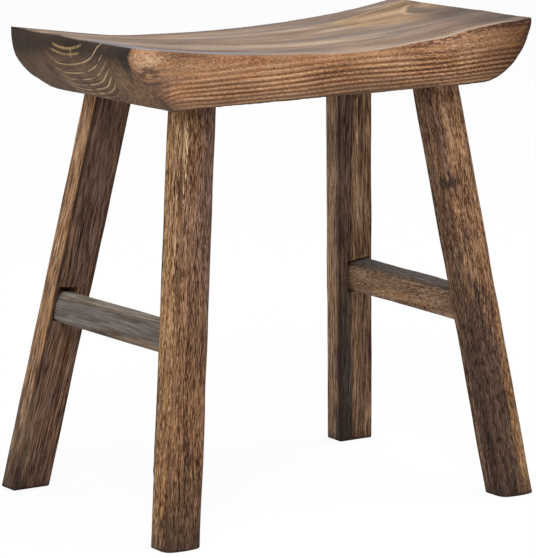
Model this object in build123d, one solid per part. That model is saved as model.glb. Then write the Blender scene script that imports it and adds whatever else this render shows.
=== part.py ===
from build123d import *
import os

# Saddle stool: a hollowed plank seat on four splayed legs, with one stretcher
# between the two legs of each end. Millimetres. +X runs along the seat, +Y to
# the back and +Z up, and the origin is on the floor under the seat's middle.

# Seat: a thick plank, rounded under at both ends and hollowed along its length
seat_length = 445.0
seat_depth = 219.0
seat_underside_height = 394.0
seat_end_thickness = 57.5
seat_waist_thickness = 39.3
seat_left_end_radius = 55.0
seat_right_end_radius = 69.0
seat_planing_depth = 3.0
seat_side_arris_radius = 4.0
seat_top_arris_radius = 3.5
seat_lower_arris_radius = 2.0

# Handwork: the seat rises a little to its right end and is thinner at the back
seat_rise_to_right = 3.2
seat_taper_to_back = 4.0

# Legs: straight sticks splayed two ways, flat inside and crowned outside
leg_width = 40.0
leg_depth = 28.0
leg_crown = 3.5
leg_outer_arris_radius = 9.0
leg_inner_arris_radius = 2.0
leg_inset_from_ends = 85.5
leg_inset_from_sides = 37.5
leg_splay_to_ends = 54.0
leg_splay_to_sides = 62.0
leg_foot_chamfer = 1.2

# Head joint: a blind tenon, kerfed, with a wedge that spreads it in its socket
tenon_width = 26.0
tenon_thickness = 15.0
tenon_length = 28.0
tenon_spread = 1.5
tenon_end_gap = 1.0
kerf_width = 2.0
kerf_depth = 21.0

# Stretchers: rails that lean with the legs and sit in blind, over-tall mortises
stretcher_thickness = 22.0
stretcher_width = 31.0
stretcher_arris_radius = 4.0
stretcher_set_in = 3.0
stretcher_left_height = 168.0
stretcher_right_height = 161.0
mortise_depth = 17.0
mortise_headroom = 5.0

# Glue line between the faces of every joint, and the overrun of every cut
glue_line = 0.15
overrun = 12.0


def seat_side_view():
    """Sawn outline of the plank before it is planed below and hollowed above."""
    height = seat_planing_depth + seat_end_thickness + overrun
    board = Rectangle(seat_length, height, align=(Align.CENTER, Align.MIN))
    left_corner = board.vertices().group_by(Axis.Y)[0].sort_by(Axis.X)[0]
    board = fillet(left_corner, seat_left_end_radius)
    right_corner = board.vertices().group_by(Axis.Y)[0].sort_by(Axis.X)[-1]
    return Pos(0, -seat_planing_depth) * fillet(right_corner, seat_right_end_radius)


def rounded_board():
    """The sawn plank with the arrises of its long sides and ends rounded."""
    board = extrude(Plane.XZ * seat_side_view(), amount=seat_depth / 2, both=True)
    side_edges = board.edges().filter_by(Axis.Y, reverse=True)
    below_top = side_edges.group_by(Axis.Z)[:-1]
    return fillet([edge for group in below_top for edge in group], seat_side_arris_radius)


def saddle_cutter():
    """Cylinder along Y that cuts the hollow, from the tips down to the waist."""
    rise = seat_end_thickness - seat_waist_thickness
    half_length = seat_length / 2
    radius = (half_length**2 + rise**2) / (rise * 2)
    drum = Cylinder(radius, seat_depth + overrun * 2)
    return Pos(0, 0, seat_waist_thickness + radius) * Rot(90, 0, 0) * drum


def seat_frame():
    """Frame on the flat underside of the seat, over the middle of the floor."""
    centre = (0, 0, seat_underside_height)
    along = (seat_length, 0, seat_rise_to_right)
    upward = (-seat_rise_to_right, 0, seat_length)
    return Plane(origin=centre, x_dir=along, z_dir=upward)


def seat_plank():
    """The shaped plank, planed flat below, hollowed above and set on the legs."""
    upward = (0, -seat_taper_to_back, seat_depth)
    underside = Plane(origin=(0, 0, 0), x_dir=(1, 0, 0), z_dir=upward)
    plank = split(rounded_board(), bisect_by=underside, keep=Keep.TOP)
    plank -= saddle_cutter()
    hollow = plank.faces().filter_by(GeomType.CYLINDER).sort_by(SortBy.AREA)[-1]
    plank = fillet(hollow.edges(), seat_top_arris_radius)
    flat = plank.faces().sort_by(Axis.Z)[0]
    plank = fillet(flat.edges(), seat_lower_arris_radius)
    plank = seat_frame().location * underside.location.inverse() * plank
    slope = seat_rise_to_right / seat_length
    off_centre = plank.bounding_box().center().X
    return Pos(-off_centre, 0, -off_centre * slope) * plank


def leg_frame(side_x, side_y):
    """Frame of one leg: origin at its shoulder, z up the leg, y outward."""
    head_x = seat_length / 2 - leg_inset_from_ends
    head_y = seat_depth / 2 - leg_inset_from_sides
    head = seat_frame().from_local_coords(Vector(side_x * head_x, side_y * head_y, 0))
    foot_x = head_x + leg_splay_to_ends
    foot_y = head_y + leg_splay_to_sides
    foot = Vector(side_x * foot_x, side_y * foot_y, 0)
    axis = (head - foot).normalized()
    across = (Vector(1, 0, 0) - axis * axis.X) * side_y
    return Plane(origin=head, x_dir=across.normalized(), z_dir=axis)


def leg_section():
    """Section of a leg: flat on the inside, crowned and rounded outside."""
    half_width = leg_width / 2
    half_depth = leg_depth / 2
    shoulder = half_depth - leg_crown
    sides = Polyline(
        (half_width, shoulder),
        (half_width, -half_depth),
        (-half_width, -half_depth),
        (-half_width, shoulder),
    )
    crown = ThreePointArc((-half_width, shoulder), (0, half_depth), (half_width, shoulder))
    section = make_face(sides + crown)
    section = fillet(section.vertices().group_by(Axis.Y)[-1], leg_outer_arris_radius)
    return fillet(section.vertices().group_by(Axis.Y)[0], leg_inner_arris_radius)


def flared_bar(half_foot, half_head, foot, head, thickness):
    """Bar in a leg's frame that widens evenly from its foot to its head."""
    outline = Polyline(
        (-half_foot, foot),
        (half_foot, foot),
        (half_head, head),
        (-half_head, head),
        close=True,
    )
    return extrude(Plane.XZ * make_face(outline), amount=thickness / 2, both=True)


def tenon(clearance, end_gap):
    """Spread tenon on a leg's head or, with a clearance, the socket for it."""
    half_foot = tenon_width / 2 + clearance
    thickness = tenon_thickness + clearance * 2
    head = tenon_length + end_gap
    root = flared_bar(half_foot, half_foot, -overrun, 0, thickness)
    return root + flared_bar(half_foot, half_foot + tenon_spread, 0, head, thickness)


def kerf_filler(clearance, thickness):
    """Bar that opens the saw kerf or, with a clearance, the wedge that fills it."""
    root = tenon_length - kerf_depth
    head = tenon_length + tenon_end_gap
    slope = tenon_spread / kerf_depth
    half_foot = kerf_width / 2 + clearance * slope - clearance
    half_head = kerf_width / 2 + (head - root) * slope - clearance
    return flared_bar(half_foot, half_head, root + clearance, head, thickness)


def rail_frame(side_x):
    """Frame of a stretcher: origin under its middle, z along +Y, y up its lean."""
    height = stretcher_left_height if side_x < 0 else stretcher_right_height
    upward = Vector(-side_x * leg_splay_to_ends, 0, seat_underside_height)
    climb = upward * (height / seat_underside_height)
    upward = upward.normalized()
    outward = Vector(upward.Z, 0, -upward.X) * side_x
    foot_x = seat_length / 2 - leg_inset_from_ends + leg_splay_to_ends
    set_out = leg_width / 2 - stretcher_set_in - stretcher_thickness / 2
    origin = Vector(side_x * foot_x, 0, 0) + climb + outward * set_out
    along = Vector(0, 1, 0)
    return Plane(origin=origin, x_dir=upward.cross(along), z_dir=along)


def rail_section():
    """Section of a stretcher, with its four arrises rounded."""
    section = Rectangle(stretcher_thickness, stretcher_width, align=(Align.CENTER, Align.MIN))
    return fillet(section.vertices(), stretcher_arris_radius)


def mortise_section():
    """Section of the square-cut mortises, taller than the stretcher in them."""
    width = stretcher_thickness + glue_line * 2
    height = stretcher_width + mortise_headroom
    return Rectangle(width, height, align=(Align.CENTER, Align.MIN))


def rail(side_x, section, depth):
    """Bar between two legs, stopped at a depth behind their inner faces."""
    reach = seat_depth / 2 - leg_inset_from_sides + leg_splay_to_sides
    bar = extrude(rail_frame(side_x) * section, amount=reach, both=True)
    for side_y in (-1, 1):
        frame = leg_frame(side_x, side_y)
        stop = frame.origin + frame.y_dir * (depth - leg_depth / 2)
        end_plane = Plane(origin=stop, z_dir=frame.y_dir)
        bar = split(bar, bisect_by=end_plane, keep=Keep.BOTTOM)
    return bar


def leg(side_x, side_y):
    """One leg: stick cut to the floor and the seat, tenon, kerf and mortise."""
    frame = leg_frame(side_x, side_y)
    reach = frame.origin.Z / frame.z_dir.Z + overrun
    stick = frame * extrude(leg_section(), amount=reach, both=True)
    stick = split(stick, bisect_by=seat_frame(), keep=Keep.BOTTOM)
    stick = split(stick, bisect_by=Plane.XY, keep=Keep.TOP)
    foot = stick.faces().sort_by(Axis.Z)[0]
    stick = chamfer(foot.edges(), leg_foot_chamfer)
    stick += frame * tenon(0, 0)
    stick -= frame * kerf_filler(0, tenon_thickness + overrun)
    return stick - rail(side_x, mortise_section(), mortise_depth)


def wedge(side_x, side_y):
    """Wedge in a leg's kerf, driven home by the blind end of the socket."""
    thickness = tenon_thickness - glue_line * 2
    return leg_frame(side_x, side_y) * kerf_filler(glue_line, thickness)


def seat(corners):
    """The shaped plank with a blind flared socket over each leg."""
    plank = seat_plank()
    for side_x, side_y in corners:
        plank -= leg_frame(side_x, side_y) * tenon(glue_line, tenon_end_gap)
    return plank


def stretcher(side_x):
    """One stretcher, a glue line short of the floors of its mortises."""
    return rail(side_x, rail_section(), mortise_depth - glue_line)


def stool_pieces():
    """Every separate piece of the stool, by its name."""
    sides = {-1: "left", 1: "right"}
    ends = {-1: "front", 1: "back"}
    corners = [(side_x, side_y) for side_x in sides for side_y in ends]
    pieces = {"seat": seat(corners)}
    for side_x, side_y in corners:
        corner_name = ends[side_y] + "_" + sides[side_x]
        pieces["leg_" + corner_name] = leg(side_x, side_y)
        pieces["wedge_" + corner_name] = wedge(side_x, side_y)
    for side_x, side_name in sides.items():
        pieces["stretcher_" + side_name] = stretcher(side_x)
    return pieces


os.makedirs("parts", exist_ok=True)
for name, piece in stool_pieces().items():
    export_step(piece, "parts/" + name + ".step")
    print(name, piece.volume, piece.bounding_box())
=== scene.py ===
import math

import bmesh
import bpy
import numpy as np
from mathutils import Matrix, Vector


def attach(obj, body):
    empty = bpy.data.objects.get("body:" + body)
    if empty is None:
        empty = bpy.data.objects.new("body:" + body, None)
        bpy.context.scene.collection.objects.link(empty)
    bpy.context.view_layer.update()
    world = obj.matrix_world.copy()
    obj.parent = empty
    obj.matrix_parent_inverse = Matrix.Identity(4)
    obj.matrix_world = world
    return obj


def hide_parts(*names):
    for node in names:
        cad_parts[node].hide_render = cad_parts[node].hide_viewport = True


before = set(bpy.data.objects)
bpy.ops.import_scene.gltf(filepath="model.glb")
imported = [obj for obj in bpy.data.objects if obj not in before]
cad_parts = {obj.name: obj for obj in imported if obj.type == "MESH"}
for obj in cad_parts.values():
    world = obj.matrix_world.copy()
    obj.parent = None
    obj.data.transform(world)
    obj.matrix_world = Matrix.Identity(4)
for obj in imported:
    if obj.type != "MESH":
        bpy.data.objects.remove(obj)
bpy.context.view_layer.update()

# The view: the stool is seen from in front and from its left end, from a little
# above and from far off, with the seat just inside the top of the picture.
view_turn, view_height, view_roll = -34.8248, 10.9467, 0.8318  # in degrees
view_spot = (-1.90725, -2.73672, 0.85058)
scene = bpy.context.scene
scene.view_settings.view_transform = "Standard"
lens = bpy.data.cameras.new("camera")
lens.sensor_width = 36.0
lens.lens = 230.864
lens.clip_end = 100.0
camera = bpy.data.objects.new("camera", lens)
turn = Matrix.Rotation(math.radians(view_turn), 4, "Z")
turn @= Matrix.Rotation(math.radians(90 - view_height), 4, "X")
turn @= Matrix.Rotation(math.radians(view_roll), 4, "Z")
camera.matrix_world = Matrix.Translation(view_spot) @ turn
scene.collection.objects.link(camera)
scene.camera = camera


# The finish: each wood is a tree of shader nodes. A value that changes over the
# surface is written as a sum or a product of others, and each one adds a node.
metre = 1000.0  # in millimetres


class Value:
    """One value of a wood: the output of a node."""

    def __init__(self, finish, socket):
        self.finish = finish
        self.socket = socket

    def maths(self, operation, *others):
        inputs = dict(enumerate((self,) + others))
        return self.finish.node("ShaderNodeMath", {"operation": operation}, inputs)

    def __add__(self, other):
        return self.maths("ADD", other)

    def __sub__(self, other):
        return self.maths("SUBTRACT", other)

    def __mul__(self, other):
        return self.maths("MULTIPLY", other)

    def __truediv__(self, other):
        return self.maths("DIVIDE", other)

    def __pow__(self, other):
        return self.maths("POWER", other)

    def __rsub__(self, other):
        return self * -1 + other

    __radd__ = __add__
    __rmul__ = __mul__

    def span(self, other):
        """Distance over two steps that stand at right angles."""
        return (self * self + other * other) ** 0.5

    def step(self, low, high, start=0.0, end=1.0):
        """Smooth change from start to end while the value goes from low to high."""
        settings = {"interpolation_type": "SMOOTHSTEP"}
        inputs = {"Value": self, "From Min": low, "From Max": high}
        inputs.update({"To Min": start, "To Max": end})
        return self.finish.node("ShaderNodeMapRange", settings, inputs)

    def band(self, centre, half):
        """1 where the value is about the centre, and nothing from half of it away."""
        return (self - centre).maths("ABSOLUTE").step(half, half * 0.3)


def srgb(*parts):
    """Colour as it shows, from 0 to 255, turned into an amount of light."""
    shares = [part / 255.0 for part in parts]
    return tuple(s / 12.92 if s < 0.04045 else ((s + 0.055) / 1.055) ** 2.4 for s in shares)


class Finish:
    """A material, or the sky, with the nodes that make it."""

    def __init__(self, owner):
        self.owner = owner
        owner.use_nodes = True
        self.tree = owner.node_tree
        self.tree.nodes.clear()

    def node(self, kind, settings, inputs, output=0):
        """One node: its settings, then the values or the links of its sockets."""
        node = self.tree.nodes.new(kind)
        for key, value in settings.items():
            if key == "stops":
                ramp = node.color_ramp
                while len(ramp.elements) < len(value):
                    ramp.elements.new(1.0)
                for element, (place, colour) in zip(ramp.elements, value):
                    element.position = place
                    element.color = (*colour, 1.0)
            else:
                setattr(node, key, value)
        for key, value in inputs.items():
            socket = node.inputs[key]
            if isinstance(value, Value):
                self.tree.links.new(value.socket, socket)
            elif socket.type == "RGBA":
                socket.default_value = (*value[:3], 1.0)
            else:
                socket.default_value = value
        if node.outputs:
            return Value(self, node.outputs[output])

    def grain(self, place):
        """Coordinates in millimetres in the frame of the sawn piece, x up its grain."""
        where = self.node("ShaderNodeTexCoord", {}, {}, "Object")
        back = place.inverted()
        inputs = {"Vector": where, "Location": back.translation, "Rotation": back.to_euler()}
        turned = self.node("ShaderNodeMapping", {}, inputs)
        settings = {"operation": "SCALE"}
        return self.node("ShaderNodeVectorMath", settings, {0: turned, "Scale": metre})

    def facing(self):
        """The way the surface faces, as its parts along the stool's three axes."""
        return self.split(self.node("ShaderNodeTexCoord", {}, {}, "Normal"))

    def arris(self):
        """How far the nearest arris is, in millimetres."""
        return self.node("ShaderNodeAttribute", {"attribute_name": "arris"}, {}, "Fac")

    def split(self, vector):
        return [self.node("ShaderNodeSeparateXYZ", {}, {0: vector}, axis) for axis in "XYZ"]

    def noise(self, vector, sizes, detail=2.0, roughness=0.5, shift=0.0):
        """Noise whose grains have these sizes in millimetres, from 0 to about 1."""
        scale = [1.0 / size for size in sizes]
        inputs = {"Vector": vector, "Scale": scale, "Location": (shift, shift, shift)}
        placed = self.node("ShaderNodeMapping", {}, inputs)
        inputs = {"Vector": placed, "Scale": 1.0, "Detail": detail, "Roughness": roughness}
        return self.node("ShaderNodeTexNoise", {}, inputs)

    def colour(self, share, first, second, blend="MIX"):
        """First colour going to the second by a share that varies over the surface."""
        settings = {"data_type": "RGBA", "blend_type": blend}
        inputs = {0: share, 6: first, 7: second}
        return self.node("ShaderNodeMix", settings, inputs, 2)

    def stain(self, colour, share, *parts):
        """The colour, going by a share to one that is given as it shows."""
        return self.colour(share, colour, srgb(*parts))

    def join(self, x, y, z):
        return self.node("ShaderNodeCombineXYZ", {}, {0: x, 1: y, 2: z})

    def ramp(self, share, *tones):
        """Tones, as they show, one after the other at even steps of the share."""
        stops = [(i / (len(tones) - 1), srgb(*tone)) for i, tone in enumerate(tones)]
        return self.node("ShaderNodeValToRGB", {"stops": stops}, {0: share})

    def near(self, grain, centre, sizes):
        """How far a spot is, as a share of its sizes: 1 on its edge."""
        scale = [1.0 / size for size in sizes]
        back = [-place / size for place, size in zip(centre, sizes)]
        inputs = {"Vector": grain, "Scale": scale, "Location": back}
        placed = self.node("ShaderNodeMapping", {}, inputs)
        settings = {"operation": "LENGTH"}
        return self.node("ShaderNodeVectorMath", settings, {0: placed}, "Value")

    def surface(self, shader, output="ShaderNodeOutputMaterial"):
        self.node(output, {}, {"Surface": shader})


# The floor: a wide white studio floor that the stool stands on. It is brighter to
# the camera than to the stool, so the picture's ground is white, and it keeps a
# faint shadow. The light is a white sky and two large soft lamps.
floor_half_width = 20.0
floor_glow = 1.06
floor_share_of_glow = 0.86
lamps_look_at = Vector((0.0, 0.0, 0.3))
floor_finish = Finish(bpy.data.materials.new("studio floor"))
matt = floor_finish.node("ShaderNodeBsdfDiffuse", {}, {"Color": (0.8, 0.8, 0.8, 1.0)})
glow_inputs = {"Color": (1.0, 1.0, 1.0, 1.0), "Strength": floor_glow}
glow = floor_finish.node("ShaderNodeEmission", {}, glow_inputs)
seen = floor_finish.node("ShaderNodeLightPath", {}, {}, "Is Camera Ray") * floor_share_of_glow
floor_shader = floor_finish.node("ShaderNodeMixShader", {}, {0: seen, 1: matt, 2: glow})
floor_finish.surface(floor_shader)

slab = bmesh.new()
bmesh.ops.create_grid(slab, x_segments=8, y_segments=8, size=floor_half_width)
floor_mesh = bpy.data.meshes.new("floor")
slab.to_mesh(floor_mesh)
slab.free()
floor_mesh.materials.append(floor_finish.owner)
floor = bpy.data.objects.new("floor", floor_mesh)
scene.collection.objects.link(floor)

sky = bpy.data.worlds.new("white sky")
scene.world = sky
sky_tree = Finish(sky)
plain = sky_tree.node("ShaderNodeBackground", {}, {"Color": (1, 1, 1, 1), "Strength": 0.5})
white = sky_tree.node("ShaderNodeBackground", {}, {"Color": (1, 1, 1, 1), "Strength": 1.0})
seen = sky_tree.node("ShaderNodeLightPath", {}, {}, "Is Camera Ray")
mirrored = sky_tree.node("ShaderNodeLightPath", {}, {}, "Is Glossy Ray")
through = sky_tree.node("ShaderNodeLightPath", {}, {}, "Is Transmission Ray")
share = (seen + mirrored + through).step(0.0, 1.0)
sky_shader = sky_tree.node("ShaderNodeMixShader", {}, {0: share, 1: plain, 2: white})
sky_tree.surface(sky_shader, "ShaderNodeOutputWorld")

for name, spot, width, power in (
    ("lamp from the left", (-2.2, -2.6, 2.9), 2.4, 78.0),
    ("lamp from above", (1.2, -0.8, 3.4), 2.2, 34.0),
):
    light = bpy.data.lights.new(name, "AREA")
    light.shape = "DISK"
    light.size = width
    light.energy = power
    lamp = bpy.data.objects.new(name, light)
    aim = (lamps_look_at - Vector(spot)).to_track_quat("-Z", "Y")
    lamp.matrix_world = Matrix.Translation(spot) @ aim.to_matrix().to_4x4()
    scene.collection.objects.link(lamp)


# Seat: one thick plank of an open-grained wood, sawn round under both ends, planed
# flat below, hollowed with a drawknife along its length, then scorched, brushed and
# waxed. A socket for each leg is cut in from below.
seat_length = 445.0
seat_depth = 219.0
seat_end_thickness = 57.5
seat_waist_thickness = 39.3
seat_left_end_radius = 55.0
seat_right_end_radius = 69.0
seat_planing_depth = 3.0
seat_underside_height = 394.0
seat_rise_to_right = 3.2
seat_taper_to_back = 4.0
seat_off_centre = 0.995
seat_right_saw_cut = 221.0
seat_side_arris = 3.2
seat_top_arris = 2.6
seat_under_arris = 1.5
seat_wear = 0.05
socket_width = 26.3
socket_thickness = 15.3
socket_depth = 29.0
socket_spread = 1.5


def sawn_block(lines):
    """Block cut through by planes at the given places along its three axes."""
    block = bmesh.new()
    bmesh.ops.create_cube(block, size=1.0)
    for axis, places in enumerate(lines):
        long_edges = [
            edge for edge in block.edges
            if abs(edge.verts[0].co[axis] - edge.verts[1].co[axis]) > 0.5
        ]
        cuts = len(places) - 2
        bmesh.ops.subdivide_edges(block, edges=long_edges, cuts=cuts, use_grid_fill=True)
    for vert in block.verts:
        for axis, places in enumerate(lines):
            vert.co[axis] = places[round((vert.co[axis] + 0.5) * (len(places) - 1))]
    return block


def closer_at_ends(count, share):
    """Places from -1 to 1 that lie closer together towards both ends."""
    even = np.linspace(-1.0, 1.0, count)
    return even * (1.0 - share) + np.sin(even * math.pi / 2) * share


def rounded(radius, first, second):
    """Height over two faces that meet in an arris rounded to a radius."""
    over_first, over_second = first + radius, second + radius
    outside = np.hypot(np.maximum(over_first, 0.0), np.maximum(over_second, 0.0))
    return outside + np.minimum(np.maximum(over_first, over_second), 0.0) - radius


def uneven(points, spans, seed):
    """Rises and hollows of handwork, from -1 to 1, about as long as the spans."""
    dice = np.random.default_rng(seed)
    count = 14
    waves = dice.normal(size=(3, count)) * 2.6 / np.array(spans)[:, None]
    starts = dice.uniform(0, 6.3, count)
    return np.tanh(np.sin(points @ waves + starts).sum(-1) / 3.2)


def settled(points, height):
    """Points moved down or up onto the surface where the height is nothing."""
    reach = 0.02
    for _ in range(8):
        over = height(points)
        slope = [height(points + s) - height(points - s) for s in np.eye(3) * reach]
        slope = np.stack(slope, -1) / (2 * reach)
        steepness = np.maximum((slope**2).sum(-1), 0.3)
        points = points - slope * (over / steepness)[:, None]
    return points


def shape_block(block, faces, height):
    """Works a block down to its surface and notes how far each point is from an arris."""
    farthest = 40.0
    points = settled(np.array([vert.co for vert in block.verts]), height)
    second = np.sort(np.stack(faces(points)), axis=0)[-2]
    layer = block.verts.layers.float.new("arris")
    for vert, place, depth in zip(block.verts, points, -second):
        vert.co = place
        vert[layer] = min(max(depth, 0.0), farthest)


def everywhere(centre):
    """Takes every face of a mouth."""
    return True


def dig(block, inside, fit, moves):
    """Moves the faces inside a mouth, fitted to its edges, in or out in steps.

    Each step is a move for the points and a test for the faces that go with it.
    """
    mouth = [face for face in block.faces if inside(face.calc_center_median(), face.normal)]
    whole_mouth = set(mouth)
    for vert in dict.fromkeys(vert for face in mouth for vert in face.verts):
        if not whole_mouth.issuperset(vert.link_faces):
            vert.co = fit(vert.co)
    for move, part in moves:
        mouth = [face for face in mouth if part(face.calc_center_median())]
        rims = list(dict.fromkeys(edge for face in mouth for edge in face.edges))
        grown = bmesh.ops.extrude_face_region(block, geom=mouth + rims)["geom"]
        mouth = [item for item in grown if isinstance(item, bmesh.types.BMFace)]
        for vert in [item for item in grown if isinstance(item, bmesh.types.BMVert)]:
            vert.co = move(vert.co)


def make_piece(block, name, place, finish):
    """Sets a worked block in its place and gives it to the stool."""
    for vert in block.verts:
        vert.co = place @ (vert.co / metre)
    mesh = bpy.data.meshes.new(name)
    block.to_mesh(mesh)
    block.free()
    mesh.materials.append(finish.owner)
    mesh.shade_smooth()
    mesh.set_sharp_from_angle(angle=math.radians(40.0))
    piece = bpy.data.objects.new(name, mesh)
    scene.collection.objects.link(piece)
    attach(piece, "root")
    return piece


def stand(origin, along, upward):
    """Place of a frame: its origin in millimetres, its x and its z."""
    x, z = Vector(along).normalized(), Vector(upward).normalized()
    place = Matrix((x, z.cross(x), z)).transposed().to_4x4()
    place.translation = Vector(origin) / metre
    return place


def carried(place, spot):
    """A spot in millimetres, taken through a place from one frame into another."""
    return place @ (spot / metre) * metre


def climb(x, start, end):
    """Share that goes evenly from 0 at the start to 1 at the end."""
    return np.clip((x - start) / (end - start), 0.0, 1.0)


def hump(x, centre, reach, power=2):
    """Smooth hump, 1 at its centre and next to nothing at twice its reach."""
    return np.exp(-(((x - centre) / reach) ** power))


hollow_rise = seat_end_thickness - seat_waist_thickness
hollow_radius = ((seat_length / 2) ** 2 + hollow_rise**2) / (hollow_rise * 2)
left_centre = (
    seat_left_end_radius - seat_length / 2,
    seat_left_end_radius - seat_planing_depth,
)
right_centre = (
    seat_length / 2 - seat_right_end_radius,
    seat_right_end_radius - seat_planing_depth,
)
seat_frame = stand(
    (0, 0, seat_underside_height),
    (seat_length, 0, seat_rise_to_right),
    (-seat_rise_to_right, 0, seat_length),
)
slid = Vector((seat_off_centre, 0, seat_off_centre * seat_rise_to_right / seat_length)) / metre
seat_taper = Matrix.Rotation(-math.atan(seat_taper_to_back / seat_depth), 4, "X")
seat_place = Matrix.Translation(slid) @ seat_frame @ seat_taper


def hollow_top(x, y):
    """Height of the hollow: a round sweep that the drawknife left a little uneven."""
    sweep = seat_waist_thickness + hollow_radius - np.sqrt(hollow_radius**2 - x**2)
    near = climb(y, -20.0, -100.0) ** 2
    raised = 2.6 * hump(x, 164.0, 33.0, 4)
    lowered = 2.0 * hump(x, 24.0, 42.0)
    far = climb(y, 30.0, 100.0) ** 2
    dipped = 1.9 * hump(x, -108.0, 48.0)
    return sweep + near * (raised - lowered) - far * dipped


def seat_faces(points):
    """Heights over the plank's faces: its ends, its sides, its hollow and its underside.

    The left end is flatter and then fuller than a true round as it turns under, its
    far corner is worn back, and the underside is lower over its last stretch.
    """
    x, y, z = points.T
    left_in = np.maximum(left_centre[0] - x, 0.001)
    left_down = np.maximum(left_centre[1] - z, 0)
    turned = np.arctan2(left_down, left_in)
    fuller = np.interp(turned, (0.4, 0.78, 1.03, 1.25, 1.45), (0.0, -1.7, -0.9, 1.9, 5.2))
    worn = climb(y, 72.0, 110.0) ** 2 * np.interp(turned, (0.85, 1.25), (0.0, 2.7))
    left = np.hypot(left_in, left_down) - fuller + worn
    right_in = np.maximum(x - right_centre[0], 0)
    right_down = np.maximum(right_centre[1] - z, 0)
    right = np.hypot(right_in, right_down)
    ends = np.maximum(left - seat_left_end_radius, right - seat_right_end_radius)
    ends = np.maximum(ends, x - seat_right_saw_cut)
    sides = np.abs(y) - seat_depth / 2
    underside = (seat_taper_to_back * y - seat_depth * z) / seat_depth
    underside = underside - climb(x, -162.0, -178.0) * 5.4
    return ends, sides, z - hollow_top(x, y), underside


def seat_height(points):
    """Height over the finished plank, with its arrises rounded, torn and planed."""
    x, y, z = points.T
    ends, sides, top, underside = seat_faces(points)
    rolled = climb(x, -150.0, -170.0)
    ends = ends + (rounded(2.0, ends, underside) - ends) * rolled
    torn = uneven(points, (9.0, 30.0, 30.0), 3) * 0.8
    at_left = climb(x, -190.0, -212.0)
    near = climb(y, 0.0, -60.0)
    near_left = at_left * near * climb(z, 12.0, 37.0)
    near_right = climb(x, 150.0, 180.0) * near
    far_left = at_left * climb(y, 75.0, 100.0)
    lip = at_left * (5.0 - far_left * 6.6)
    side_arris = seat_side_arris + torn + near_left * 5.0 - near_right * 2.0 - far_left * 1.8
    body = rounded(side_arris, ends, sides)
    body = rounded(seat_top_arris + torn + lip, body, top)
    body = rounded(seat_under_arris + torn * 0.6, body, underside)
    planed = uneven(points, (90.0, 35.0, 30.0), 5) * 0.3
    planed = planed + uneven(points, (22.0, 12.0, 9.0), 6) * 0.1
    return body + seat_wear + np.maximum(planed + 0.15, 0.0)


def plank_block():
    """The plank's block, its rows already bent to the hollow and the round ends."""
    along_cuts = closer_at_ends(190, 0.45)
    across_cuts = closer_at_ends(76, 0.75) * seat_depth / 2
    rows = (closer_at_ends(25, 0.55) + 1.0) / 2.0
    block = sawn_block((along_cuts, across_cuts, rows))
    for vert in block.verts:
        along, y, share = vert.co
        level = seat_end_thickness * share
        left_drop = min(level - left_centre[1], 0)
        right_drop = min(level - right_centre[1], 0)
        left = left_centre[0] - math.sqrt(seat_left_end_radius**2 - left_drop**2)
        right = right_centre[0] + math.sqrt(seat_right_end_radius**2 - right_drop**2)
        x = left + (right - left) * (along + 1.0) / 2.0
        bottom = seat_taper_to_back * y / seat_depth
        vert.co = (x, y, bottom + (hollow_top(x, y) - bottom) * share)
    return block


leg_width = 40.0
leg_depth = 28.0
leg_crown = 3.5
leg_inset_from_ends = 85.5
leg_inset_from_sides = 37.5
leg_splay_to_ends = 54.0
leg_splay_to_sides = 62.0


def leg_place(side_x, side_y):
    """Frame of one leg: origin at its shoulder, z up the leg, y outward."""
    head_x = seat_length / 2 - leg_inset_from_ends
    head_y = seat_depth / 2 - leg_inset_from_sides
    head = seat_frame @ Vector((side_x * head_x / metre, side_y * head_y / metre, 0.0)) * metre
    foot_x, foot_y = head_x + leg_splay_to_ends, head_y + leg_splay_to_sides
    foot = Vector((side_x * foot_x, side_y * foot_y, 0))
    axis = (head - foot).normalized()
    across = (Vector((1, 0, 0)) - axis * axis.x) * side_y
    return stand(head, across, axis)


def dig_socket(block, side_x, side_y):
    """Blind socket, wider at its end, cut up into the plank in line with the leg."""
    to_leg = leg_place(side_x, side_y).inverted() @ seat_place
    from_leg = to_leg.inverted()

    def inside(centre, normal):
        spot = carried(to_leg, centre)
        below = centre.z < 5.0 and normal.z < -0.5
        return below and abs(spot.x) < socket_width / 2 and abs(spot.y) < socket_thickness / 2

    def fit(place):
        spot = carried(to_leg, place)
        reach = max(abs(spot.x) * 2 / socket_width, abs(spot.y) * 2 / socket_thickness)
        spot.x, spot.y = spot.x / reach, spot.y / reach
        return carried(from_leg, spot)

    def deepen(place):
        spot = carried(to_leg, place)
        spot.x *= 1.0 + socket_spread * 2 / socket_width
        spot.z = socket_depth
        return carried(from_leg, spot)

    dig(block, inside, fit, [(deepen, everywhere)])


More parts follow.
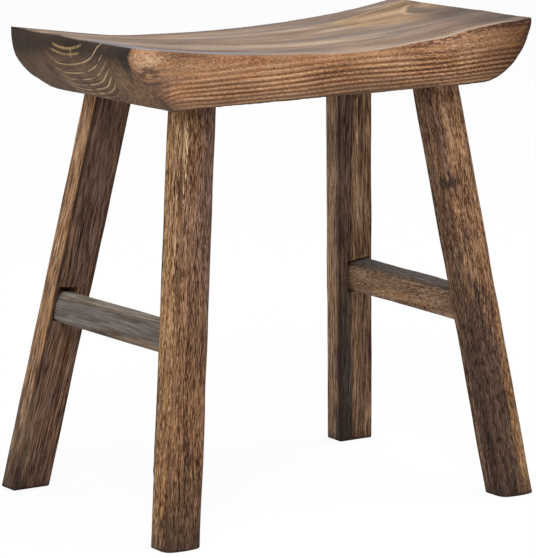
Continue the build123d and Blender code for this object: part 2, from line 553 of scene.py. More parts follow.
def figure(wood, place, side, pith, lean, stretch, curl, length, seed):
    """Figure of the wood: where the pith is, and its fibres, streaks, pores and clouds.

    The side is 1 where the surface faces along y. The fibres are fine across either
    face and change slowly into the wood. The curl bends them, and the length is theirs.
    """
    grain = wood.grain(place)
    x, y, z = wood.split(grain)
    bend = wood.noise(grain, (150, 55, 55), 1, 0.5, seed) - 0.5
    ripple = wood.noise(grain, (30, 9, 9), 2, 0.5, seed + 3) - 0.5
    across = y - x * lean - pith[0] + bend * 5
    level = across * across.step(-8.0, 8.0, stretch[0], stretch[1])
    above = z - pith[1] + bend * 3
    wave = ripple * curl + bend * 12
    bent = wood.join(x, (y + wave) * (side * -0.9 + 1), (z + wave) * (side * 0.9 + 0.1))
    fibre = wood.noise(bent, (length, 0.55, 0.55), 2, 0.65, seed) - 0.5
    streak = wood.noise(bent, (80, 2.6, 2.6), 3, 0.65, seed + 11) - 0.5
    pores = wood.noise(bent, (4, 0.7, 0.7), 1, 0.5, seed + 5).step(0.56, 0.66)
    cloud = wood.noise(grain, (55, 20, 20), 2, 0.5, seed + 9) - 0.5
    return grain, (x, y, z), (level, above, ripple), fibre, streak, pores, cloud


def skinned(wood, colour, relief, fibre):
    """Matt waxed skin of brushed wood, with its relief in about a millimetre."""
    inputs = {"Strength": 0.5, "Distance": 0.0003, "Height": relief}
    bump = wood.node("ShaderNodeBump", {}, inputs)
    skin = {"Base Color": colour, "Roughness": 0.72 - fibre * 0.5, "Specular IOR Level": 0.16}
    skin["Normal"] = bump
    wood.surface(wood.node("ShaderNodeBsdfPrincipled", {}, skin))


seat_wood = Finish(bpy.data.materials.new("scorched seat wood"))
_, face_y, face_z = seat_wood.facing()
on_side = face_y.maths("ABSOLUTE").step(0.5, 0.85)
grain, (x, y, z), (level, above, _), fibre, streak, pores, cloud = figure(
    seat_wood, seat_place, on_side, (31.4, 80.0), 0.02, (0.62, 0.62), 1.2, 3.0, 1.0
)
arris = seat_wood.arris()
on_top = face_z.step(0.78, 0.94)
edge = seat_wood.noise(grain, (5, 5, 5), 2, 0.6, 17.0) - 0.5
on_end = (face_y.maths("ABSOLUTE") + edge * 0.6).step(0.5, 0.15) * face_z.step(-0.95, -0.85)
on_end = (on_end + x.step(-212.0, -217.0) * z.step(36.0, 42.0) * (1 - on_side)).step(0.0, 1.0)
near_corner = (y + edge * 20).step(-92.0, -100.0) * (z + edge * 8).step(24.0, 32.0)
on_end = on_end * (1 - near_corner * x.step(0.0, -100.0))

# its rings: 8 mm apart by the heart of the tree and 2.5 mm at the long sides
level = level * (level.step(0.0, 6.0) * x.step(-60.0, -200.0) * 1.3 + 1)
left_of_heart = level.step(-52.0, -26.0) * level.step(0.0, -8.0) * x.step(-185.0, -212.0)
level = level * (1 - left_of_heart * 0.13)
low_corner = x.step(-178.0, -212.0) * y.step(-84.0, -102.0) * z.step(28.0, 8.0)
beyond = level.span(above) - 50 - low_corner * 5 + streak * 0.8
outer = beyond.maths("MAXIMUM", 0.0)
ring = beyond * 0.1 + outer * outer * 0.0025
turn = ring.maths("FRACT")
pace = outer * 0.005 + 0.1
before = (1 - turn) / pace
line = before.step(0.95, 0.45) + (turn / pace).step(0.6, 0.2)
late = before.step(2.4, 1.5) * before.step(0.6, 1.0)

# its long sides: orange brown, with dark and pale lines along the lower edge, a
# bare torn patch by the near left corner, and smoke on the corners and the right
lower = z.step(40.0, 16.0)
right = x.step(-40.0, 120.0)
calm = x.step(-150.0, -190.0, 1.0, 0.4)
side_share = fibre * (right * 0.4 - lower * late * 0.7 + 1.75) + streak * 0.7 + cloud * 0.6
side_share = side_share + 0.61 - lower * 0.14 - pores * 0.1
dark_lines = late * calm * (lower * 0.14 + right * 0.06 + 0.02)
side_share = side_share - dark_lines + line * (lower * 0.14 + 0.02)
side_browns = ((54, 35, 25), (112, 76, 50), (168, 122, 86), (198, 155, 118), (230, 197, 160))
side_colour = seat_wood.ramp(side_share, *side_browns)
side_colour = seat_wood.stain(side_colour, late * calm * lower * 0.42, 84, 56, 38)
tint = seat_wood.noise(grain, (50, 6, 5), 2, 0.5, 37.0).step(0.42, 0.6)
side_colour = seat_wood.colour(tint * 0.6, side_colour, (0.98, 0.86, 0.71), "MULTIPLY")
side_colour = seat_wood.colour(0.4 - tint * 0.4, side_colour, (0.92, 0.84, 0.9), "MULTIPLY")
grey = seat_wood.noise(grain, (90, 26, 10), 2, 0.5, 31.0).step(0.54, 0.68)
side_colour = seat_wood.stain(side_colour, grey * 0.25, 112, 88, 76)
blotch = seat_wood.noise(grain, (20, 3.6, 3.2), 3, 0.6, 41.0) * 3
umber = (seat_wood.near(grain, (-196, -109, 38), (40, 18, 20)) + blotch).step(2.6, 1.9)
side_colour = seat_wood.stain(side_colour, umber * 0.35, 104, 74, 58)
pale = (seat_wood.near(grain, (-208, -109, 45), (22, 34, 9)) + blotch - fibre * 2).step(2.4, 1.6)
bare_browns = ((112, 80, 58), (176, 134, 102), (216, 176, 140), (236, 202, 168))
bare_colour = seat_wood.ramp(side_share, *bare_browns)
side_colour = seat_wood.colour(pale * 0.85, side_colour, bare_colour)
dark_patch = (seat_wood.near(grain, (-208, -107, 32), (22, 26, 10)) + blotch).step(2.5, 1.8)
side_colour = seat_wood.stain(side_colour, dark_patch * 0.8, 82, 59, 51)
smoke = (seat_wood.near(grain, (-200, -109, 18), (20, 14, 16)) + blotch).step(2.5, 1.7)
side_colour = seat_wood.stain(side_colour, smoke * 0.65, 84, 64, 58)
turned = (arris + cloud * 10).step(15.0, 1.0) * x.step(-160.0, -185.0) * z.step(36.0, 24.0)
side_colour = seat_wood.stain(side_colour, turned * 0.6, 98, 75, 61)
under_edge = arris.step(7.5, 3.0) * z.step(34.0, 38.0)
torn = (seat_wood.noise(grain, (8, 2.6, 2.6), 2, 0.6, 61.0) + right * 0.03).step(0.48, 0.56)
burnt_ends = x.step(-206.0, -196.0) * x.step(-130.0, -160.0) * 0.6 + torn * x.step(20.0, 90.0)
burn = under_edge * burnt_ends
side_colour = seat_wood.stain(side_colour, burn * 0.7, 68, 44, 34)
shaded = (arris + cloud * 8).step(15.0, 2.0) * x.step(165.0, 214.0)
side_colour = seat_wood.stain(side_colour, shaded * 0.5, 76, 53, 39)
smoked = (x + cloud * 40).step(120.0, 212.0)
side_colour = seat_wood.colour(smoked, side_colour, (0.45, 0.40, 0.36), "MULTIPLY")
low_edge = z.step(13.0, 3.0)
side_colour = seat_wood.stain(side_colour, low_edge * 0.35, 104, 86, 70)
charred = arris.step(2.8, 1.2) * (x.step(150.0, 205.0) + z.step(14.0, 8.0) * 0.5).step(0.0, 1.0)
side_colour = seat_wood.stain(side_colour, charred * 0.85, 44, 33, 27)

# its ends: dark and grey, with the thin pale rings of the tree and the strokes of
# its heart, and tan low down by the near corner
along_rings = seat_wood.join(beyond, level * 0.06, above * 0.06)
growth = seat_wood.noise(along_rings, (1.3, 1, 1), 2, 0.6, 71.0) - 0.5
clear = y.step(-82.0, -52.0, 0.35, 1.0)
end_share = (growth * 0.9 - late * 0.12) * clear + fibre * 0.3 + cloud * 0.8
end_share = end_share + edge * (1.3 - clear) + 0.54
end_umbers = ((48, 38, 32), (82, 64, 51), (110, 87, 69), (134, 108, 83), (162, 134, 102))
end_colour = seat_wood.ramp(end_share, *end_umbers)
burnt = (z.step(22.0, 54.0) + cloud * 0.8 + y.step(30.0, 100.0) * 0.35).step(0.1, 0.95)
end_colour = seat_wood.stain(end_colour, burnt * 0.84, 51, 42, 37)
blotch = seat_wood.noise(grain, (6, 6, 6), 3, 0.65, 43.0) * 2
tan = (seat_wood.near(grain, (-205, -80, 16), (34, 36, 24)) + blotch).step(2.2, 1.3)
end_tans = ((88, 66, 48), (138, 106, 75), (178, 144, 104))
end_colour = seat_wood.colour(tan * 0.6, end_colour, seat_wood.ramp(edge * 2.2 + 0.5, *end_tans))
ring_pale = seat_wood.noise(grain, (20, 14, 14), 2, 0.5, 12.0).step(0.32, 0.56)
ring_pale = ring_pale * beyond.step(36.0, 27.0, 0.12, 1.0) * beyond.step(-2.0, -1.0)
ring_pale = ring_pale * y.step(-60.0, -46.0) * y.step(52.0, 36.0)
end_colour = seat_wood.stain(end_colour, line * ring_pale * 0.9, 208, 176, 136)
spread = (y - 16 + edge * 3) * 0.62
heart = spread.span(above) + edge * 1.6
middle = spread.maths("ABSOLUTE")
core = (seat_wood.near(grain, (-222, 2, 51), (20, 17, 4.5)) + edge).step(1.2, 0.7) * 0.7
end_colour = seat_wood.stain(end_colour, core, 40, 32, 28)
strokes = heart.band(34.0, 2.0) * middle.step(21.0, 16.0) * spread.step(13.0, 10.0)
strokes = strokes + heart.band(39.8, 1.5) * middle.step(19.0, 12.0) * 0.8
strokes = strokes + (y - 5).band(0.0, 1.8) * heart.band(38.0, 7.0) * 0.8
strokes = strokes * (edge * 2.0 + 0.8)
end_colour = seat_wood.stain(end_colour, strokes.step(0.1, 0.9) * 0.75, 188, 156, 108)
smoky = (seat_wood.near(grain, (-222, -96, 48), (28, 24, 22)) + blotch).step(2.2, 1.4)
end_colour = seat_wood.stain(end_colour, smoky * 0.75, 44, 38, 36)
rim = arris.step(3.4, 1.0)
end_colour = seat_wood.stain(end_colour, rim * 0.7, 36, 30, 28)

# its hollow: rubbed grey, with a tan tongue and a dark eye where the heart comes out
# at the right. Near its front arris it has a bluish grey painted sheen at the left end
# and a pale band of rubbed wear and painted highlight at the right
leaning = seat_wood.join(x, y + (z - 40) * 0.5, z)
wide = seat_wood.noise(leaning, (280, 30, 60), 2, 0.5, 57.0) - 0.5
top_share = fibre * 0.8 + streak * 0.9 + cloud * 0.5 + wide * 1.6 + 0.54
top_share = top_share - right * 0.05 - pores * 0.12 - late * 0.09
top_greys = ((86, 70, 62), (124, 102, 88), (157, 132, 113), (180, 155, 134), (208, 182, 156))
top_colour = seat_wood.ramp(top_share, *top_greys)
brown = seat_wood.noise(grain, (110, 16, 30), 2, 0.5, 53.0).step(0.46, 0.62) * y.step(-30.0, 30.0)
top_colour = seat_wood.stain(top_colour, brown * 0.5, 138, 108, 84)
blue = seat_wood.noise(grain, (140, 14, 30), 2, 0.5, 51.0).step(0.5, 0.62)
blue = (blue + (y + x * 0.03 + 18).band(0.0, 12.0) * x.step(-60.0, 20.0)).step(0.0, 1.0)
top_colour = seat_wood.stain(top_colour, blue * 0.6, 118, 108, 104)
dusky = x.step(90.0, 200.0) * y.step(10.0, -25.0) * y.step(-105.0, -85.0)
top_colour = seat_wood.stain(top_colour, dusky * 0.45, 114, 91, 75)
flame = beyond + streak * 2
tongue = flame.step(-10.2, -11.0) * x.step(92.0, 118.0)
tongue_tans = ((88, 65, 47), (120, 92, 68), (150, 118, 88), (174, 140, 106), (206, 172, 134))
tongue_colour = seat_wood.ramp(top_share, *tongue_tans)
top_colour = seat_wood.colour(tongue * 0.85, top_colour, tongue_colour)
hot = flame.band(-11.0, 1.1) + flame.band(-14.6, 0.8) * 0.6
top_colour = seat_wood.stain(top_colour, hot * x.step(92.0, 118.0) * 0.5, 204, 174, 138)
off_heart = level + 4.5
eye = (off_heart * off_heart * 0.5 + above * above) ** 0.5 + streak
in_eye = x.step(130.0, 160.0) * x.step(212.0, 196.0)
top_colour = seat_wood.stain(top_colour, eye.step(29.3, 28.7) * in_eye * 0.8, 106, 93, 80)
top_colour = seat_wood.stain(top_colour, eye.band(29.7, 0.7) * in_eye * 0.6, 210, 180, 144)
# rubbed wear and painted highlight: a pale band on the top along its front arris at the right
rubbed_wear_and_highlight = arris.step(11.0, 3.0) * y.step(-93.0, -102.0) * x.step(30.0, 90.0) * x.step(205.0, 180.0)
top_colour = seat_wood.stain(top_colour, rubbed_wear_and_highlight * 0.6, 198, 174, 154)
# painted sheen: bluish grey on the top near its front arris, towards the left end
painted_sheen = (arris + streak * 10).step(36.0, 14.0) * x.step(-40.0, -120.0) * y.step(0.0, -40.0)
top_colour = seat_wood.stain(top_colour, painted_sheen * 0.75, 142, 140, 144)
far_right = (x + streak * 60 + fibre * 20).step(154.0, 194.0)
far_right = far_right * y.step(40.0, 10.0) * y.step(-108.0, -84.0)
sooty_greys = ((64, 54, 48), (86, 73, 65), (106, 91, 81), (134, 116, 102))
sooty_colour = seat_wood.ramp(top_share, *sooty_greys)
top_colour = seat_wood.colour(far_right * 0.9, top_colour, sooty_colour)
right_arris = arris.step(6.0, 1.5) * x.step(190.0, 208.0)
top_colour = seat_wood.stain(top_colour, right_arris * 0.6, 88, 68, 55)

colour = seat_wood.colour(on_end, side_colour, end_colour)
colour = seat_wood.colour(on_top, colour, top_colour)
skinned(seat_wood, colour, fibre + streak * 0.3 - late * 0.3 - pores * 0.4, fibre)

plank = plank_block()
shape_block(plank, seat_faces, seat_height)
plank.normal_update()
for side_x in (-1, 1):
    for side_y in (-1, 1):
        dig_socket(plank, side_x, side_y)
seat = make_piece(plank, "seat_plank", seat_place, seat_wood)
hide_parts("seat")


# Legs: four sticks of the same wood, flat inside and crowned outside, splayed two
# ways. Each is held by a kerfed tenon in the seat, and has a mortise on its inner
# face that is cut taller than the rail it takes.
tenon_width = 26.0
tenon_thickness = 15.0
tenon_length = 28.0
tenon_spread = 1.5
kerf_width = 2.0
kerf_depth = 21.0
rail_thickness = 22.0
rail_height = 31.0
rail_set_in = 3.0
rail_heights = {-1: 168.0, 1: 161.0}
mortise_depth = 17.0
mortise_width = 22.3
mortise_height = 36.0
leg_inner_arris = 1.6
leg_foot_arris = 1.2
leg_wear = 0.02
leg_flare_depth = 400.0
crown_radius = ((leg_width / 2) ** 2 + leg_crown**2) / (leg_crown * 2)


def rail_place(side_x):
    """Frame of a stretcher: origin under its middle, z to the back, y up its lean."""
    upward = Vector((-side_x * leg_splay_to_ends, 0, seat_underside_height))
    raised = upward * (rail_heights[side_x] / seat_underside_height)
    upward.normalize()
    outward = Vector((upward.z, 0, -upward.x)) * side_x
    foot_x = seat_length / 2 - leg_inset_from_ends + leg_splay_to_ends
    set_out = leg_width / 2 - rail_set_in - rail_thickness / 2
    origin = Vector((side_x * foot_x, 0, 0)) + raised + outward * set_out
    return stand(origin, upward.cross(Vector((0, 1, 0))), (0, 1, 0))


def crown(x):
    """Where the crowned outer face of a leg lies, over its width."""
    return leg_depth / 2 - crown_radius + np.sqrt(crown_radius**2 - np.square(x))


def mortise_corners(side_x, side_y, left, bottom, top):
    """Mouth of a leg's mortise on its inner face, as corners in the leg's frame."""
    to_leg = leg_place(side_x, side_y).inverted() @ rail_place(side_x)
    along = to_leg.to_3x3() @ Vector((0, 0, 1))
    corners = []
    for x in (-mortise_width / 2, mortise_width / 2 + left):
        for y in (bottom, mortise_height + top):
            spot = carried(to_leg, Vector((x, y, 0)))
            corners.append(spot + along * ((-leg_depth / 2 - spot.y) / along.y))
    return corners


def level_at(point, normal, x, y):
    """Height of a sloping cut at x and y, from one of its points and its normal."""
    return point.z - (normal.x * (x - point.x) + normal.y * (y - point.y)) / normal.z


def make_leg(name, side_x, side_y, corner_radius, flare, mouth, seed, finish):
    """One leg, with its two flanks set out at the foot by a flare to -X and to +X.

    The mouth says how far its mortise is off its size to one side, below and above.
    """
    place = leg_place(side_x, side_y)
    flare = flare[::side_y]
    back = place.inverted()
    down = back.to_3x3() @ Vector((0, 0, -1))
    floor_point = back.translation * metre
    up = back.to_3x3() @ seat_frame.to_3x3().col[2]
    shoulder_point = back @ seat_frame.translation * metre
    corners = mortise_corners(side_x, side_y, *mouth)
    low = sum(corner.z for corner in corners[0::2]) / 2
    high = sum(corner.z for corner in corners[1::2]) / 2
    middle_x = sum(corner.x for corner in corners) / 4
    foot = floor_point.dot(down) / down.z

    def leg_faces(points):
        x, y, z = points.T
        outside = np.hypot(x, y - leg_depth / 2 + crown_radius) - crown_radius
        sole = (points - np.array(floor_point)) @ np.array(down)
        share = np.clip(-z / leg_flare_depth, 0.0, 1.1)
        flanks = np.maximum(-x - share * flare[0], x - share * flare[1]) - leg_width / 2
        return flanks, outside, -leg_depth / 2 - y, sole

    def leg_height(points):
        sides, outside, inside, sole = leg_faces(points)
        worn = uneven(points, (25.0, 25.0, 40.0), seed)
        body = rounded(corner_radius * (1 + worn * 0.12), sides, outside)
        body = rounded(leg_inner_arris + worn * 0.6, body, inside)
        planed = uneven(points, (40.0, 40.0, 110.0), seed + 1) * 0.25
        body = rounded(leg_foot_arris, body + leg_wear + np.maximum(planed + 0.1, 0.0), sole)
        head = (points - np.array(shoulder_point)) @ np.array(up)
        return rounded(0.0, body, head)

    # the cuts lie closer together towards the arrises, the foot and the mortise
    half_width, half_tenon = leg_width / 2, tenon_thickness / 2
    x_cuts = np.array([5.1, 9.0, 13.0, 15.2, 17.1, 18.4, 19.3, half_width])
    x_cuts = np.concatenate((-x_cuts[::-1], [-kerf_width / 2, kerf_width / 2], x_cuts))
    y_cuts = np.array([-14, -13.4, -12.5, -11, -7.5, -3, 2, 7.5, 9.2, 10.8, 12.2, 13.2, 14.0])
    z_cuts = np.concatenate((
        foot + np.array([0.0, 0.6, 1.3, 2.2, 3.6]),
        np.linspace(foot, low, 60)[3:-1],
        np.linspace(low, high, 16)[:-1],
        np.linspace(high, 0.0, 84),
    ))
    stick = sawn_block((x_cuts, y_cuts, z_cuts))
    bent_over = 40.0
    for vert in stick.verts:
        x, y, z = vert.co
        if y > half_tenon:
            outer = leg_depth / 2 - half_tenon
            y = half_tenon + (y - half_tenon) * (crown(x) - half_tenon) / outer
        low_share = max(0.0, 1.0 - (z - foot) / bent_over)
        high_share = max(0.0, 1.0 + z / bent_over)
        z += (level_at(floor_point, down, x, y) - foot) * low_share
        z += level_at(shoulder_point, up, x, y) * high_share
        vert.co = (x, y, z)
    shape_block(stick, leg_faces, leg_height)
    stick.normal_update()

    def at_mouth(centre, normal):
        in_width = abs(centre.x - middle_x) < (mortise_width + mouth[0]) / 2
        return in_width and low < centre.z < high and normal.y < -0.9

    def fit_mouth(place):
        to_left = place.x < middle_x
        edge = corners[0:2] if (corners[0].x < corners[2].x) == to_left else corners[2:4]
        share = (place.z - low) / (high - low)
        beside_edge = 1.6
        if abs(place.x - edge[0].x) < beside_edge:
            place.x = edge[0].x + (edge[1].x - edge[0].x) * share
        return place

    along = back.to_3x3() @ Vector((0, side_y, 0))
    sink = along * (mortise_depth / along.y)
    dig(stick, at_mouth, fit_mouth, [(lambda spot: spot + sink, everywhere)])

    def on_head(centre, normal):
        in_width = abs(centre.x) < tenon_width / 2
        return in_width and abs(centre.y) < half_tenon and normal.z > 0.8

    def raise_root(spot):
        spot.z = tenon_length - kerf_depth
        return spot

    def raise_halves(spot):
        spot.x += math.copysign(tenon_spread, spot.x)
        spot.z = tenon_length
        return spot

    steps = [
        (raise_root, everywhere),
        (raise_halves, lambda centre: abs(centre.x) > kerf_width / 2),
    ]
    dig(stick, on_head, lambda spot: spot, steps)
    leg = make_piece(stick, name + "_stick", place, finish)
    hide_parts(name)


def shades(*middle):
    """Five shades of one wood, from its scorched lines to its bare ones."""
    levels = (
        (0.42, 0.31, 0.24), (0.75, 0.67, 0.59), (1, 1, 1),
        (1.24, 1.29, 1.32), (1.52, 1.64, 1.70),
    )
    return [[min(part * by, 255) for part, by in zip(middle, level)] for level in levels]


def late_wood(level, above, ripple, streak, spacing):
    """Dark line at the end of each year's growth, the rings this far apart."""
    away = level.span(above) + ripple * 1.2
    turn = (away / spacing + streak * 0.5).maths("FRACT")
    return turn.step(0.3, 0.85) * turn.step(1.0, 0.9)


def marked(wood, grain, share, colour, seed, marks):
    """A piece's marks: ragged spots, each at its place in shades of its own. Most are its own
    colour; the pale line over the back right leg's mortise is a painted highlight.
    """
    blotch = wood.noise(grain, (22, 2.5, 2.5), 3, 0.65, seed + 21) * 2.2
    for centre, sizes, tone, strength, ragged in marks:
        spot = wood.near(grain, centre, sizes) + (blotch - 1.1) * ragged
        mask = spot.step(1.1, 0.5) * strength
        colour = wood.colour(mask, colour, wood.ramp(share, *shades(*tone)))
    return colour


up_grain = Matrix(((0, 1, 0, 0), (0, 0, 1, 0), (1, 0, 0, 0), (0, 0, 0, 1)))


def leg_finish(name, place, seed, curl, length, rough, flank, face, marks):
    """Wood of one leg: x runs up its grain, y over its width and z outward."""
    wood = Finish(bpy.data.materials.new(name))
    face_x, face_y, _ = wood.facing()
    side = face_x.maths("ABSOLUTE").step(0.5, 0.85)
    grain, (x, _, _), (level, above, ripple), fibre, streak, pores, cloud = figure(
        wood, place @ up_grain, side, (-34.0, -46.0), 0.02, (1.0, 1.0), curl, length, seed
    )
    late = late_wood(level, above, ripple, streak, 4.2)
    share = fibre * (rough * 1.1) + streak * 1.0 + cloud * 0.8 + 0.60 - late * 0.2 - pores * 0.22
    on_face = face_y.maths("ABSOLUTE").step(0.35, 0.8)
    flank_colour = wood.ramp(share, *shades(*flank))
    face_colour = wood.ramp(share, *shades(*face))
    colour = wood.colour(on_face, flank_colour, face_colour)
    tint = wood.noise(grain, (70, 4.5, 4.5), 2, 0.5, seed + 31).step(0.42, 0.6)
    colour = wood.colour(tint * 0.7, colour, (1.0, 0.86, 0.68), "MULTIPLY")
    colour = wood.colour(0.5 - tint * 0.5, colour, (0.88, 0.84, 0.92), "MULTIPLY")
    colour = marked(wood, grain, share, colour, seed, marks)
    charred = (wood.arris() + cloud * 5).step(4.2, 0.3) * 0.82
    colour = wood.stain(colour, charred, 46, 32, 25)
    singed = (x + cloud * 40 + fibre * 20).step(-362.0, -414.0) * 0.62
    colour = wood.stain(colour, singed, 42, 31, 26)
    skinned(wood, colour, fibre + streak * 0.4 - late * 0.4 - pores * 0.5, fibre)
    return wood


# each leg: its side, the seed of its wear, its form, its wood, and its marks, which
# give a place and a size up the grain, a tone, a strength and how ragged they are
for name, side_x, side_y, seed, form, wood, marks in (
    (
        "leg_front_left", -1, -1, 11,
        {"corner_radius": 8.0, "flare": (1.8, 0.0), "mouth": (0.0, 0.0, 0.0)},
        {
            "curl": 4.0, "length": 8.0, "rough": 4.2,
            "flank": (150, 115, 83), "face": (116, 86, 65),
        },
        [
            ((-130, -14, 14), (270, 19, 20), (92, 67, 57), 0.9, 1.0),
            ((-50, 15, 13), (42, 2.4, 8), (172, 138, 104), 0.9, 1.0),
            ((-205, 19, 8), (34, 2.2, 8), (168, 132, 94), 0.8, 1.0),
            ((-225, 0, 14), (80, 18, 14), (92, 67, 52), 0.75, 1.0),
            ((-330, 6, 12), (170, 40, 24), (120, 83, 55), 0.6, 1.0),
            ((-420, 4, 14), (110, 40, 20), (80, 58, 43), 0.85, 1.0),
        ],
    ),
    (
        "leg_back_left", -1, 1, 12,
        {"corner_radius": 4.5, "flare": (1.6, -1.6), "mouth": (0.0, -3.0, -5.0)},
        {
            "curl": 1.8, "length": 22.0, "rough": 3.6,
            "flank": (150, 114, 84), "face": (100, 75, 60),
        },
        [
            ((-90, 0, -14), (120, 24, 6), (84, 63, 52), 0.7, 1.0),
            ((-410, -20, 0), (140, 12, 30), (106, 84, 67), 0.9, 1.0),
        ],
    ),
    (
        "leg_front_right", 1, -1, 13,
        {"corner_radius": 7.5, "flare": (0.0, 1.4), "mouth": (0.0, 0.0, 0.0)},
        {
            "curl": 3.0, "length": 7.0, "rough": 3.9,
            "flank": (106, 80, 62), "face": (130, 97, 72),
        },
        [
            ((-320, 12, 10), (190, 24, 24), (64, 48, 40), 0.85, 1.0),
            ((-350, -12, 14), (120, 7, 10), (136, 100, 68), 0.85, 1.0),
            ((-110, -8, 14), (90, 5, 8), (142, 104, 76), 0.6, 1.0),
            ((-60, 14, 10), (60, 6, 9), (72, 50, 42), 0.7, 1.0),
            ((-96, 14, 11), (8, 12, 14), (54, 40, 32), 0.9, 1.0),
        ],
    ),
    (
        "leg_back_right", 1, 1, 14,
        {"corner_radius": 4.5, "flare": (-1.6, 1.9), "mouth": (2.2, 0.0, -2.8)},
        {
            "curl": 2.0, "length": 20.0, "rough": 3.6,
            "flank": (136, 110, 88), "face": (122, 94, 73),
        },
        [
            ((-100, 2.4, -14), (70, 1.3, 5), (156, 128, 96), 0.8, 1.0),
            # painted highlight: a pale line along the top edge of the mortise mouth
            ((-201.5, 3, -14), (2.6, 16, 5), (150, 120, 84), 0.7, 1.0),
            ((-120, -12, -14), (1500, 10, 12), (88, 66, 53), 0.95, 0.2),
            ((-360, -12, -14), (170, 10.5, 12), (60, 50, 43), 0.95, 0.3),
            ((-222, -6.5, -14), (24, 4, 6), (50, 38, 31), 0.9, 0.3),
            ((-330, 10, -14), (110, 8, 6), (96, 71, 56), 0.8, 1.0),
        ],
    ),
):
    name_of_wood = "scorched " + name.replace("_", " ")
    place = leg_place(side_x, side_y)
    finish = leg_finish(name_of_wood, place, seed=seed, marks=marks, **wood)
    make_leg(name, side_x, side_y, seed=seed, finish=finish, **form)


# Stretchers: a flat rail of the same wood, stained greyer, between the two legs of
# each end. It leans with them and is glued into their mortises, and the left one is
# pared away towards its back end to enter its leg.
rail_arris = 3.0
rail_pared_arris = 2.5
rail_shortfall = 0.15
rail_wear = 0.05


def make_rail(name, side_x, bottoms, tops, pared, undercut, seed, finish):
    """One rail, leaning with its pair of legs and cut to them at both ends.

    Its bottom and its top are off their lines by these in front and behind. It is
    pared along the arris of its top, and undercut below its back end.
    """
    place = rail_place(side_x)
    back = place.inverted()
    stops = {}
    for side_y in (-1, 1):
        leg = leg_place(side_x, side_y)
        outward = leg.to_3x3().col[1]
        reach = mortise_depth - rail_shortfall - leg_depth / 2
        stop = leg.translation + outward * (reach / metre)
        stops[side_y] = (back @ stop * metre, back.to_3x3() @ outward)

    def edges_at(z):
        bottom = np.interp(z, (-90.0, 90.0), bottoms)
        return bottom, rail_height + np.interp(z, (-90.0, 90.0), tops)

    def rail_faces(points):
        x, y, z = points.T
        bottom, top = edges_at(z)
        return np.abs(x) - rail_thickness / 2, np.maximum(y - top, bottom - y)

    def rail_height_over(points):
        x, y, z = points.T
        thick, tall = rail_faces(points)
        bottom, top = edges_at(z)
        worn = uneven(points, (30.0, 30.0, 30.0), seed)
        body = rounded(rail_arris + worn * 0.7, thick, tall)
        upper = top - np.interp(z, (-110, 0, 110), pared)
        lower = bottom + np.interp(z, (-110, 78, 104), (0, 0, undercut))
        above = (x + y - rail_thickness / 2 - upper) / math.sqrt(2)
        below = (x - y - rail_thickness / 2 + lower) / math.sqrt(2)
        body = rounded(rail_pared_arris, body, above)
        body = rounded(rail_pared_arris, body, below)
        planed = uneven(points, (30.0, 30.0, 80.0), seed + 1) * 0.25
        body = body + rail_wear + np.maximum(planed + 0.1, 0)
        for point, normal in stops.values():
            body = rounded(0.0, body, (points - np.array(point)) @ np.array(normal))
        return body

    x_cuts = closer_at_ends(17, 0.5) * rail_thickness / 2
    y_cuts = (closer_at_ends(21, 0.5) + 1.0) * rail_height / 2
    bar = sawn_block((x_cuts, y_cuts, np.linspace(0.0, 1.0, 110)))
    for vert in bar.verts:
        x, y, share = vert.co
        front, rear = level_at(*stops[-1], x, y), level_at(*stops[1], x, y)
        vert.co.z = front + (rear - front) * share
    shape_block(bar, rail_faces, rail_height_over)
    rail = make_piece(bar, name + "_rail", place, finish)
    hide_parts(name)


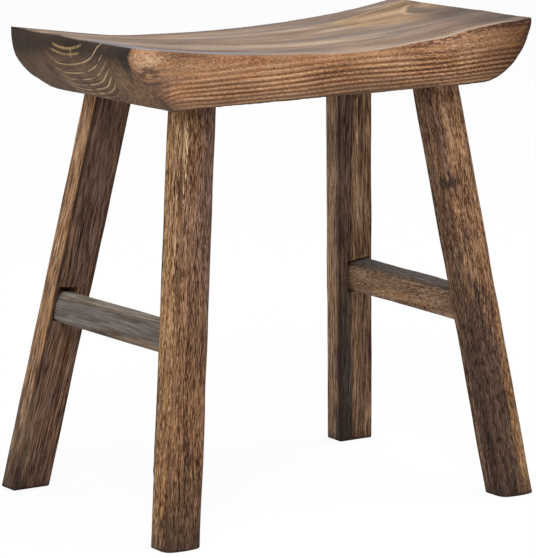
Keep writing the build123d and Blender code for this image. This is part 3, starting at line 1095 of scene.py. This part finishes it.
def rail_finish(name, place, seed, curl, length, rough, tilt, tones, marks):
    """Wood of one stretcher: x runs to the back, y over its thickness and z up.

    The tones are those of its lower part, its upper part and its top, and the tilt
    gives the slope and the height of the line between the first two.
    """
    wood = Finish(bpy.data.materials.new(name))
    face_x, _, face_z = wood.facing()
    side = face_x.maths("ABSOLUTE").step(0.5, 0.85)
    grain, (x, _, z), (level, above, ripple), fibre, streak, pores, cloud = figure(
        wood, place @ up_grain, side, (-60.0, 24.0), 0.03, (1.0, 1.0), curl, length, seed
    )
    late = late_wood(level, above, ripple, streak, 3.4)
    share = fibre * rough + streak * 0.8 + cloud * 0.6 + 0.56 - late * 0.14 - pores * 0.06 * rough
    low_colour, high_colour, top_colour = [wood.ramp(share, *shades(*tone)) for tone in tones]
    upper = (z + x * tilt[0] + streak * 4).step(tilt[1], tilt[1] + 2.5)
    colour = wood.colour(upper, low_colour, high_colour)
    colour = wood.colour(face_z.step(0.75, 0.92), colour, top_colour)
    colour = marked(wood, grain, share, colour, seed, marks)
    charred = wood.arris().step(2.0, 0.5) * z.step(8.0, 5.0) * 0.6
    colour = wood.stain(colour, charred, 46, 36, 30)
    skinned(wood, colour, fibre + streak * 0.4 - late * 0.4 - pores * 0.4, fibre)
    return wood


rail_wood = rail_finish(
    "scorched left stretcher", rail_place(-1), seed=21,
    curl=2.0, length=26.0, rough=0.65, tilt=(0.03, 23.0),
    tones=((112, 103, 96), (126, 103, 83), (150, 138, 126)),
    marks=[((-70, 11, 3), (60, 6, 5), (140, 112, 84), 0.6, 1.0)],
)
make_rail(
    "stretcher_left", -1, bottoms=(0.0, -2.6), tops=(-2.2, -5.2),
    pared=(3.0, 5.0, 9.0), undercut=5.0, seed=21, finish=rail_wood,
)
rail_wood = rail_finish(
    "scorched right stretcher", rail_place(1), seed=22,
    curl=4.0, length=6.0, rough=2.2, tilt=(0.0, 27.0),
    tones=((140, 112, 90), (108, 90, 75), (88, 80, 75)),
    marks=[((20, 11, 10), (70, 6, 5), (158, 122, 86), 0.7, 1.0)],
)
make_rail(
    "stretcher_right", 1, bottoms=(0.6, 0.6), tops=(0.4, 0.4),
    pared=(1.0, 1.0, 1.5), undercut=0.0, seed=22, finish=rail_wood,
)


# Wedges: four slips of hard wood driven into the kerfs of the tenons, which spread
# them in their sockets. They were split off and are bare, with no stain.
wedge_wood = Finish(bpy.data.materials.new("bare wedge wood"))
grain = wedge_wood.grain(Matrix.Rotation(math.pi / 2, 4, "Y"))
split_fibre = wedge_wood.noise(grain, (30, 0.8, 0.8), 3, 0.6, 5.0) - 0.5
patches = wedge_wood.noise(grain, (20, 6, 6), 2, 0.5, 8.0) - 0.5
share = split_fibre * 1.6 + patches * 0.8 + 0.5
wedge_tans = ((150, 118, 82), (188, 156, 118), (208, 182, 148), (226, 206, 178))
colour = wedge_wood.ramp(share, *wedge_tans)
skinned(wedge_wood, colour, split_fibre, split_fibre)
for name in ("wedge_front_left", "wedge_back_left", "wedge_front_right", "wedge_back_right"):
    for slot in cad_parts[name].material_slots:
        slot.material = wedge_wood.owner
